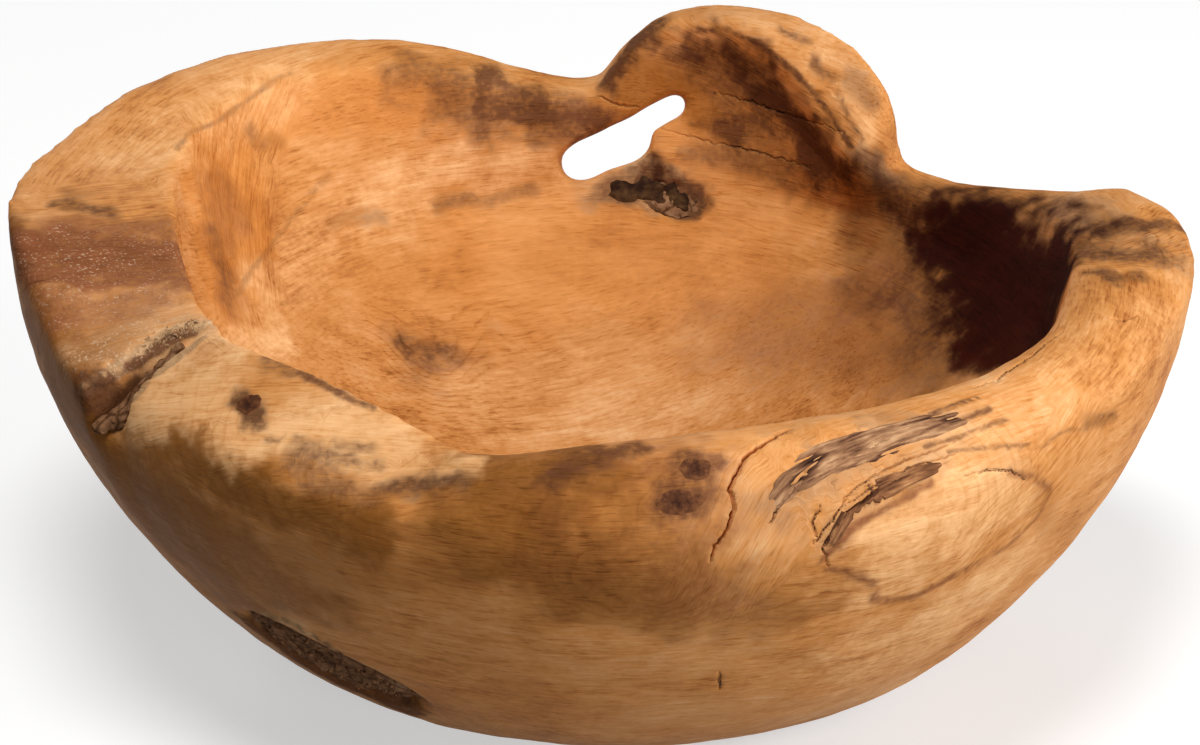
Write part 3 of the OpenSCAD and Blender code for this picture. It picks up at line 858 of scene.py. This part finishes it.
def makeTeak():
    material, node = newMaterial("oiledTeakRoot")
    place = node("TexCoord", output="Object")
    parts = grainParts(node, place)
    mottle = parts["mottle"]
    age, figure, sparkle, splitShade = (
        node("Attribute", output="Fac", attribute_name=name)
        for name in ("age", "figure", "sparkle", "splitShade"))
    bent = node("Math", {0: mottle, 1: teak["ringBend"], 2: age}, operation="MULTIPLY_ADD")
    turns = node("Math", {0: bent, 1: teak["ringMm"]}, operation="DIVIDE")
    phase = node("Math", {0: turns}, operation="FRACT")
    ringTone = node("ValToRGB", {0: phase}, stops=teak["ringTones"])
    painted, plain = teak["figure"]
    figure = node("Math", {0: figure, 1: painted, 2: plain}, operation="MULTIPLY_ADD")
    figure = node("Math", {0: figure, 1: mottle}, operation="MULTIPLY")
    value = node("Math", {0: ringTone, 1: figure}, operation="MULTIPLY")
    value = weightedSum(node, value, parts, teak["weights"])
    tear = weightedSum(node, teak["tearBase"], parts, teak["tears"])
    colour = node("ValToRGB", {0: value}, stops=teak["tones"])
    dry = 0.0
    for name, (share, tears, dark, light) in teak["masks"].items():
        field = node("Attribute", output="Fac", attribute_name=name)
        torn = node("Math", {0: tear, 1: tears, 2: 1 - tears}, operation="MULTIPLY_ADD")
        torn = node("Math", {0: field, 1: torn}, operation="MULTIPLY")
        mask = node("MapRange", {0: torn, 1: 0.04, 2: 1.0, 4: share}, interpolation_type="SMOOTHSTEP")
        tone = node("ValToRGB", {0: value}, stops=[(0.2, dark), (0.75, light)])
        colour = node("Mix", {0: mask, 6: colour, 7: tone}, 2, data_type="RGBA")
        if name in teak["dry"]:
            dry = node("Math", {0: mask, 1: dry}, operation="MAXIMUM")
    speck = node("TexNoise", {"Vector": place, "Scale": 1000 / teak["speckMm"], "Detail": 1})
    speck = node("MapRange", {0: speck, 1: 0.58, 2: 0.72})
    sparkle = node("Math", {0: sparkle, 1: mottle}, operation="MULTIPLY")
    speck = node("Math", {0: speck, 1: sparkle}, operation="MULTIPLY")
    for share, tone in ((speck, teak["speck"]), (splitShade, teak["splitShade"])):
        colour = node("Mix", {0: share, 6: colour, 7: linearColour(tone)}, 2, data_type="RGBA")
    more, least = teak["roughness"]
    rough = node("Math", {0: dry, 1: more, 2: least}, operation="MULTIPLY_ADD", use_clamp=True)
    height = weightedSum(node, parts["streak"], parts, teak["relief"])
    bump = node("Bump", {"Height": height, **teak["bump"]})
    shader = node("BsdfPrincipled", {
        "Base Color": colour, "Roughness": rough, "Specular IOR Level": teak["gloss"], "Normal": bump})
    node("OutputMaterial", {"Surface": shader})
    return material


bowlMesh.materials.append(makeTeak())
bowlPiece = addObject("bowlBody", bowlMesh)
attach(bowlPiece, "root")
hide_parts("bowl_body")
print("bowl finished")


# loose crumbs scattered over a mesh, joined to it
def crumbTree():
    tree = bpy.data.node_groups.new("crumbs", "GeometryNodeTree")
    for name, kind in (
            ("Mesh", "Geometry"), ("Per Square Metre", "Float"), ("Smallest", "Vector"),
            ("Largest", "Vector"), ("Seed", "Int"), ("Finish", "Material")):
        tree.interface.new_socket(name, in_out="INPUT", socket_type="NodeSocket" + kind)
    tree.interface.new_socket("Mesh", in_out="OUTPUT", socket_type="NodeSocketGeometry")

    node = functools.partial(addNode, tree)
    given = node("NodeGroupInput").node.outputs
    points = node("GeometryNodeDistributePointsOnFaces", {
        "Mesh": given["Mesh"], "Density": given["Per Square Metre"], "Seed": given["Seed"]})
    ball = node("GeometryNodeMeshIcoSphere", {"Radius": 1, "Subdivisions": 1})
    dent = node("TexNoise", {"Scale": 0.9}, "Color")
    dent = node("VectorMath", {0: dent, 1: (0.5, 0.5, 0.5)}, operation="SUBTRACT")
    crumb = node("GeometryNodeSetPosition", {"Geometry": ball, "Offset": dent})
    fullTurn = (6.28, 6.28, 6.28)
    turn, size = (
        node("FunctionNodeRandomValue", {0: least, 1: most, "Seed": given["Seed"]}, data_type="FLOAT_VECTOR")
        for least, most in (((0, 0, 0), fullTurn), (given["Smallest"], given["Largest"])))
    crumbs = node("GeometryNodeInstanceOnPoints", {
        "Points": points, "Instance": crumb, "Rotation": turn, "Scale": size})
    crumbs = node("GeometryNodeRealizeInstances", {"Geometry": crumbs})
    joint = tree.nodes.new("GeometryNodeJoinGeometry")
    tree.links.new(crumbs, joint.inputs[0])
    tree.links.new(given["Mesh"], joint.inputs[0])
    finished = node("GeometryNodeSetMaterial", {"Geometry": joint.outputs[0], "Material": given["Finish"]})
    node("NodeGroupOutput", {"Mesh": finished})
    return tree


crumbs = crumbTree()


def withCrumbs(mesh, style, seed, finish):
    smallest, largest = style["crumbs"]
    values = {
        "Per Square Metre": style["crumbsPerSquareMetre"], "Smallest": smallest, "Largest": largest,
        "Seed": seed, "Finish": finish}
    holder = addObject("holder", mesh)
    modifier = holder.modifiers.new("crumbs", "NODES")
    modifier.node_group = crumbs
    for socket in crumbs.interface.items_tree:
        if socket.in_out == "INPUT" and socket.name in values:
            modifier[socket.identifier] = values[socket.name]
    return baked(holder)


# what shows of a piece set flush in the wood: rows of places on the skin, lifted, closed underneath
def skinShell(name, places, facings, lift, depth, fields, wrap=False):
    rows, columns = lift.shape
    points = np.concatenate([
        (places + facings * lift[..., None]).reshape(-1, 3), (places - facings * depth).reshape(-1, 3)])
    under = rows * columns
    faces = []
    for i in range(rows - 1):
        for j in range(columns if wrap else columns - 1):
            a, b = i * columns + j, i * columns + (j + 1) % columns
            c, d = b + columns, a + columns
            faces += [(a, b, c, d), (under + d, under + c, under + b, under + a)]
    if wrap:
        border = [(rows - 1) * columns + j % columns for j in range(columns + 1)]
    else:
        border = list(range(columns)) + [i * columns + columns - 1 for i in range(1, rows)]
        border += [(rows - 1) * columns + j for j in range(columns - 2, -1, -1)]
        border += [i * columns for i in range(rows - 2, -1, -1)]
    faces += [(b, a, under + a, under + b) for a, b in zip(border, border[1:])]
    mesh = bpy.data.meshes.new(name)
    mesh.from_pydata(points.tolist(), [], faces)
    for field, values in fields.items():
        writeField(mesh, field, np.tile(values.ravel(), 2))
    shell = bmesh.new()
    shell.from_mesh(mesh)
    bpy.data.meshes.remove(mesh)
    bmesh.ops.remove_doubles(shell, verts=shell.verts, dist=1e-6)
    bmesh.ops.recalc_face_normals(shell, faces=shell.faces)
    return meshOf(shell, name)


def joined(parts, name):
    shell = bmesh.new()
    for part in parts:
        shell.from_mesh(part)
        bpy.data.meshes.remove(part)
    mesh = meshOf(shell, name)
    mesh.shade_smooth()
    return mesh


def onSkin(points):
    found = [bowlSkin.find_nearest(p)[:2] for p in points.reshape(-1, 3)]
    return np.array(found).transpose(1, 0, 2).reshape(2, *points.shape)


# how the strips that lie on the wood are laid out
strip = {"step": 2, "ends": 0.12, "fullness": 0.6, "waver": 0.25, "waverSize": 0.008}


# rows along a line of photo pixels, columns across it
def stripGrid(line, half, columns):
    spots, facings = layOut(line, strip["step"], photoSpot)
    ahead = np.gradient(spots, axis=0)
    side = np.cross(facings, ahead)
    side /= np.linalg.norm(side, axis=1)[:, None]
    along = np.concatenate([[0], np.cumsum(np.linalg.norm(np.diff(spots, axis=0), axis=1))])
    bow = np.sin(np.linspace(strip["ends"], math.pi - strip["ends"], len(spots)))
    width = half * bow ** strip["fullness"]
    onLine = np.stack([along, 0 * along, 0 * along], 1)
    width *= 1 + strip["waver"] * roughness(onLine, strip["waverSize"], 9)
    edge = np.tile(np.linspace(-1, 1, columns), (len(spots), 1))
    across = width[:, None] * edge
    places, facings = onSkin(spots[:, None] + side[:, None] * across[..., None])
    return places, facings, np.repeat(along[:, None], columns, 1), across, np.abs(edge)


# what shows of a strip: its frayed border goes under the wood
def stripLift(style, relief, along, edge, frayed):
    ends = np.minimum(along, along.max() - along) / style["endLength"]
    border = np.minimum(1 - edge, ends) + style["fray"] * frayed
    return relief - style["sink"] * (1 - softStep(border, *style["edgeFade"])) + style["rise"]


def place(name, mesh, node, slot, material):
    mesh.name = name
    mesh.materials.clear()
    mesh.materials.append(material)
    piece = addObject(name, mesh)
    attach(piece, "root")
    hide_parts(node)


# bark: dark brown, cracked into plates, dry and rough, paler on its high spots
bark = {
    "voxel": 0.0006,
    "evenRounds": 6,
    "lumps": ((0.009, 0.0009), (0.0032, 0.0006), (0.0012, 0.0002)),   # size, height in m
    "plateMm": 5,
    "grainMm": 2.2,
    "cloudMm": 14,
    "crevice": (0.12, -0.36, -0.13),   # share of a plate that is its dark border, value there and inside
    "weights": {"grain": 0.75, "cloud": 0.55},
    "tones": [(0.0, "#20120A"), (0.3, "#583820"), (0.55, "#8A6244"), (0.8, "#AE8866"), (1.0, "#CBAE90")],
    "crumbsPerSquareMetre": 60000,
    "crumbs": ((0.0004, 0.0003, 0.0002), (0.0014, 0.0009, 0.0006)),
}


def makeBarkFinish(name, tones, plateMm):
    material, node = newMaterial(name)
    spot = node("TexCoord", output="Object")
    grain = node("TexNoise", {
        "Vector": spot, "Scale": 1000 / bark["grainMm"], "Detail": 5, "Roughness": 0.65})
    cloud = node("TexNoise", {"Vector": spot, "Scale": 1000 / bark["cloudMm"], "Detail": 2})
    size = 1000 / plateMm
    plate = node("TexVoronoi", {"Vector": spot, "Scale": size}, "Distance", feature="DISTANCE_TO_EDGE")
    border, dark, light = bark["crevice"]
    value = node("MapRange", {0: plate, 1: 0.0, 2: border, 3: dark, 4: light})
    value = weightedSum(node, value, {"grain": grain, "cloud": cloud}, bark["weights"])
    colour = node("ValToRGB", {0: value}, stops=tones)
    bump = node("Bump", {"Strength": 0.7, "Distance": 0.0008, "Height": value})
    shader = node("BsdfPrincipled", {
        "Base Color": colour, "Roughness": 0.9, "Specular IOR Level": 0.1, "Normal": bump})
    node("OutputMaterial", {"Surface": shader})
    return material


def lumpiness(points, seed):
    return sum(height * roughness(points, size, seed + k) for k, (size, height) in enumerate(bark["lumps"]))


def makeBark(node, name, seed, sink):
    mesh = meshOf(joinedCopy(node), name)
    mesh = applied(mesh, "REMESH", {"mode": "VOXEL", "voxel_size": bark["voxel"], "adaptivity": 0})
    points, _ = readPoints(mesh)
    writePoints(mesh, evenOut(mesh, points, np.ones(len(points)), bark["evenRounds"]))
    points, normals = readPoints(mesh)
    lift = lumpiness(points, seed) - sink
    writePoints(mesh, points + normals * lift[:, None])
    mesh.shade_smooth()
    mesh = withCrumbs(mesh, bark, seed, barkFinish)
    place(name, mesh, node, "bark", barkFinish)


barkFinish = makeBarkFinish("bark", bark["tones"], bark["plateMm"])
makeBark("pocket_bark", "pocketBark", 31, -0.0011)
makeBark("recess_bark", "recessBark", 41, 0.0002)
makeBark("seam_bark", "seamBark", 51, 0.0004)

# bark that clings to the wood round the foot of the slot, darker than the rest with painted shade, as it lies
# under the ear; lengths in m
footBark = {
    "line": ((604, 188), (625, 192), (645, 190), (665, 196), (692, 208)),
    "half": 0.0055,
    "columns": 31,
    "plateMm": 16,
    # dark tones: bark colour with painted shade
    "tones": [(0.0, "#120804"), (0.3, "#2E1A10"), (0.55, "#50361F"), (0.8, "#7A5A40"), (1.0, "#937256")],
    "lumpShare": 0.6,
    "endLength": 0.005,
    "fray": 0.3,
    "fraySize": 0.004,
    "edgeFade": (0.05, 0.6),
    "sink": 0.0016,
    "rise": 0.0008,
    "depth": 0.0025,
}


def makeFootBark():
    places, facings, along, _, edge = stripGrid(footBark["line"], footBark["half"], footBark["columns"])
    flat = places.reshape(-1, 3)
    lump = lumpiness(flat, 91).reshape(edge.shape)
    frayed = roughness(flat, footBark["fraySize"], 95).reshape(edge.shape)
    lift = stripLift(footBark, footBark["lumpShare"] * lump, along, edge, frayed)
    mesh = skinShell("footBark", places, facings, lift, footBark["depth"], {})
    mesh.shade_smooth()
    finish = makeBarkFinish("paintedShadeBark", footBark["tones"], footBark["plateMm"])
    place("footBark", mesh, "recess_bark", "bark", finish)


makeFootBark()
print("bark set in its hollows")

# two strips of old bark grown into the rim: grey-brown, the second redder, split into long fibres
rimBark = {
    "strips": [                # photo pixels along each, half width in mm
        (((768, 508), (790, 482), (825, 462), (870, 444), (920, 428), (968, 416)), 6.2),
        (((826, 552), (850, 512), (880, 490), (915, 474), (946, 466)), 3.2),
    ],
    "columns": 41,
    "depth": 0.003,
    "ridgeMm": 1.3,
    "ridgeHeight": 0.0006,
    "stretch": 9,
    "ridgeSpread": 1.6,        # width of a raised ridge over that of a fibre
    "ledge": (0.1, 0.7),       # how deep a groove is dark
    "cloudMm": 7,
    "base": -0.6,
    "weights": {"fibre": 1.5, "cloud": 0.7, "ledge": -0.5},
    "endLength": 0.006,
    "fray": 0.14,
    "fraySize": 0.0012,
    "edgeFade": (0.02, 0.5),
    "sink": 0.0009,
    "rise": 0.0003,
    "tones": [(0.0, "#24130C"), (0.25, "#5C3B29"), (0.5, "#946A4A"), (0.75, "#C0946C"), (1.0, "#D6B088")],
    "redTones": [(0.0, "#26130B"), (0.25, "#573521"), (0.5, "#865838"), (0.75, "#B07D52"), (1.0, "#CFA273")],
}


def makeRimBarkFinish():
    material, node = newMaterial("weatheredBark")
    along, across, ledge, red = (
        node("Attribute", output="Fac", attribute_name=name) for name in ("along", "across", "ledge", "red"))
    slow = node("Math", {0: along, 1: rimBark["stretch"]}, operation="DIVIDE")
    spot = node("CombineXYZ", {0: slow, 1: across})
    fibre = node("TexNoise", {
        "Vector": spot, "Scale": 1000 / rimBark["ridgeMm"], "Detail": 4, "Roughness": 0.65,
        "Distortion": 0.4})
    where = node("TexCoord", output="Object")
    cloud = node("TexNoise", {"Vector": where, "Scale": 1000 / rimBark["cloudMm"], "Detail": 3})
    parts = {"fibre": fibre, "cloud": cloud, "ledge": ledge}
    value = weightedSum(node, rimBark["base"], parts, rimBark["weights"])
    colour = node("ValToRGB", {0: value}, stops=rimBark["tones"])
    redder = node("ValToRGB", {0: value}, stops=rimBark["redTones"])
    colour = node("Mix", {0: red, 6: colour, 7: redder}, 2, data_type="RGBA")
    bump = node("Bump", {"Strength": 0.6, "Distance": 0.0006, "Height": value})
    shader = node("BsdfPrincipled", {
        "Base Color": colour, "Roughness": 0.85, "Specular IOR Level": 0.1, "Normal": bump})
    node("OutputMaterial", {"Surface": shader})
    return material


def makeRimBark():
    strips = []
    ridgeSize = rimBark["ridgeMm"] / 1000 * rimBark["ridgeSpread"]
    for number, (line, half) in enumerate(rimBark["strips"]):
        places, facings, along, across, edge = stripGrid(line, half / 1000, rimBark["columns"])
        flat = np.stack([along / rimBark["stretch"], across, 0 * along + number], 2).reshape(-1, 3)
        ridge = roughness(flat, ridgeSize, 61, 3).reshape(along.shape)
        frayed = roughness(flat, rimBark["fraySize"], 63).reshape(along.shape)
        lift = stripLift(rimBark, rimBark["ridgeHeight"] * ridge, along, edge, frayed)
        strips.append(skinShell("strip", places, facings, lift, rimBark["depth"], {
            "along": along,
            "across": across + 0.05 * number,   # so that the two don't look alike
            "ledge": softStep(-ridge, *rimBark["ledge"]),
            "red": 0 * along + number,
        }))
    mesh = joined(strips, "rimBark")
    place("rimBark", mesh, "rim_bark", "weathered_bark", makeRimBarkFinish())


makeRimBark()
print("rim bark made")

# dead knots, flush with the wood: dark hearts, brown towards the edge, with a fine rough grain
knots = {
    "places": [                # photo pixel, radius in mm, length over width
        ((696, 469), 3.4, 1.2),
        ((680, 502), 3.6, 1.7),
        ((249, 405), 3.2, 1.1),
    ],
    "rings": 14,
    "sectors": 48,
    "waver": (0.3, 0.9),       # share and size of the uneven outline
    "rise": 0.0001,
    "sink": 0.0003,            # at the edge it goes under the wood
    "edgeFade": (0.75, 1),
    "bumps": (0.00008, 0.2),   # height in m, size over the radius
    "depth": 0.003,
    "grainMm": 1.6,
    "base": -0.6,
    "weights": {"grain": 1.3, "out": 0.55},
    "tones": [(0.0, "#361B0E"), (0.35, "#56311C"), (0.6, "#734727"), (0.8, "#8C5B34"), (1.0, "#AA713F")],
}


def makeKnotFinish():
    material, node = newMaterial("knotWood")
    spot = node("TexCoord", output="Object")
    out = node("Attribute", output="Fac", attribute_name="out")
    grain = node("TexNoise", {
        "Vector": spot, "Scale": 1000 / knots["grainMm"], "Detail": 4, "Roughness": 0.65})
    value = weightedSum(node, knots["base"], {"grain": grain, "out": out}, knots["weights"])
    colour = node("ValToRGB", {0: value}, stops=knots["tones"])
    bump = node("Bump", {"Strength": 0.5, "Distance": 0.0004, "Height": grain})
    shader = node("BsdfPrincipled", {
        "Base Color": colour, "Roughness": 0.7, "Specular IOR Level": 0.1, "Normal": bump})
    node("OutputMaterial", {"Surface": shader})
    return material


def makeKnots():
    found = []
    out = np.linspace(0, 1, knots["rings"])[:, None]
    turn = np.linspace(0, 2 * math.pi, knots["sectors"], endpoint=False)[None]
    share, size = knots["waver"]
    height, bumpSize = knots["bumps"]
    for number, (pixel, radius, stretch) in enumerate(knots["places"]):
        spot, facing = photoSpot(pixel)
        level = Vector((0, 0, 1)).cross(facing).normalized()
        rise = facing.cross(level)
        circle = np.stack([np.cos(turn), np.sin(turn), 0 * turn + number * 5], 2).reshape(-1, 3)
        reach = radius / 1000 * (1 + share * roughness(circle, size, 71).reshape(turn.shape)) * out
        places, facings = onSkin(
            np.array(spot) + (reach * np.cos(turn) * stretch)[..., None] * np.array(level)
            + (reach * np.sin(turn))[..., None] * np.array(rise))
        flat = np.stack([out * np.cos(turn), out * np.sin(turn), 0 * out + 0 * turn], 2).reshape(-1, 3)
        bumps = height * roughness(flat, bumpSize, 73).reshape(reach.shape)
        lift = knots["rise"] - knots["sink"] * softStep(out, *knots["edgeFade"]) + bumps
        found.append(skinShell("knot", places, facings, lift, knots["depth"], {"out": out + 0 * turn}, True))
    mesh = joined(found, "deadKnots")
    place("deadKnots", mesh, "dead_knots", "knot_wood", makeKnotFinish())


makeKnots()
print("knots made")

# pale, crumbling fibre along the upper edge of the seam
fringe = {
    "line": ((208, 323), (196, 325), (182, 329), (166, 335), (150, 347), (138, 358)),
    "half": 3.0,
    "columns": 9,
    "sink": 0.0002,
    "depth": 0.0006,
    "crumbsPerSquareMetre": 900000,
    "crumbs": ((0.0002, 0.0002, 0.0001), (0.0012, 0.0006, 0.0004)),
    "grainMm": 2.5,
    "tones": [(0.25, "#6A4C34"), (0.5, "#A47E56"), (0.75, "#D0AC82")],
}


def makeFringe():
    material, node = newMaterial("drySplinters")
    spot = node("TexCoord", output="Object")
    grain = node("TexNoise", {"Vector": spot, "Scale": 1000 / fringe["grainMm"], "Detail": 3})
    colour = node("ValToRGB", {0: grain}, stops=fringe["tones"])
    shader = node("BsdfPrincipled", {"Base Color": colour, "Roughness": 0.9})
    node("OutputMaterial", {"Surface": shader})
    places, facings, along, _, _ = stripGrid(fringe["line"], fringe["half"] / 1000, fringe["columns"])
    mesh = skinShell("fringe", places, facings, 0 * along - fringe["sink"], fringe["depth"], {})
    mesh = withCrumbs(mesh, fringe, 81, material)
    place("seamFringe", mesh, "bowl_body", "root_wood", material)


makeFringe()
print("seam fringe made")

# stage: pale floor of matt paint, and soft lamps above, on the right, in front and behind
stage = {
    "floorSize": 14,
    "paint": "#C8C8C8",
    "shadePaint": "#707070",   # what the bowl's underside sees of the floor
    "glow": 0.5,
    "sky": 0.09,
    "lampSize": 0.6,
    "lamps": {                 # place, power
        "topLamp": ((-0.1, -0.35, 1.4), 14),
        "rightLamp": ((1.36, -0.12, 0.37), 7),
        "sideLamp": ((1.05, -0.6, 0.78), 6.2),
        "frontLamp": ((0.75, -1.15, 0.2), 8.6),
        "backLamp": ((-0.5, 1.25, 0.55), 3),
    },
}


def makeFloor():
    half = stage["floorSize"] / 2
    mesh = bpy.data.meshes.new("floor")
    corners = [(-half, -half, 0), (half, -half, 0), (half, half, 0), (-half, half, 0)]
    mesh.from_pydata(corners, [], [(0, 1, 2, 3)])
    material, node = newMaterial("mattPaint")
    rays = node("LightPath").node.outputs
    seen = rays["Is Camera Ray"]
    for name in ("Is Glossy Ray", "Is Transmission Ray"):
        seen = node("Math", {0: seen, 1: rays[name]}, operation="MAXIMUM")
    shade = node("BsdfDiffuse", {"Color": linearColour(stage["shadePaint"])})
    white = node("BsdfDiffuse", {"Color": linearColour(stage["paint"])})
    glow = node("Emission", {"Strength": stage["glow"]})
    white = node("AddShader", {0: white, 1: glow})
    shader = node("MixShader", {0: seen, 1: shade, 2: white})
    node("OutputMaterial", {"Surface": shader})
    mesh.materials.append(material)
    addObject("floor", mesh)


def makeLight():
    world = bpy.data.worlds.new("studio")
    world.use_nodes = True
    sky = world.node_tree.nodes["Background"].inputs
    sky["Color"].default_value = (1, 1, 1, 1)
    sky["Strength"].default_value = stage["sky"]
    bpy.context.scene.world = world
    for name, (spot, power) in stage["lamps"].items():
        data = bpy.data.lights.new(name, "AREA")
        data.shape = "DISK"
        data.size = stage["lampSize"]
        data.energy = power
        addAimed(name, data, spot)


makeFloor()
makeLight()
bpy.context.scene.view_settings.view_transform = "Standard"
print("stage lit")
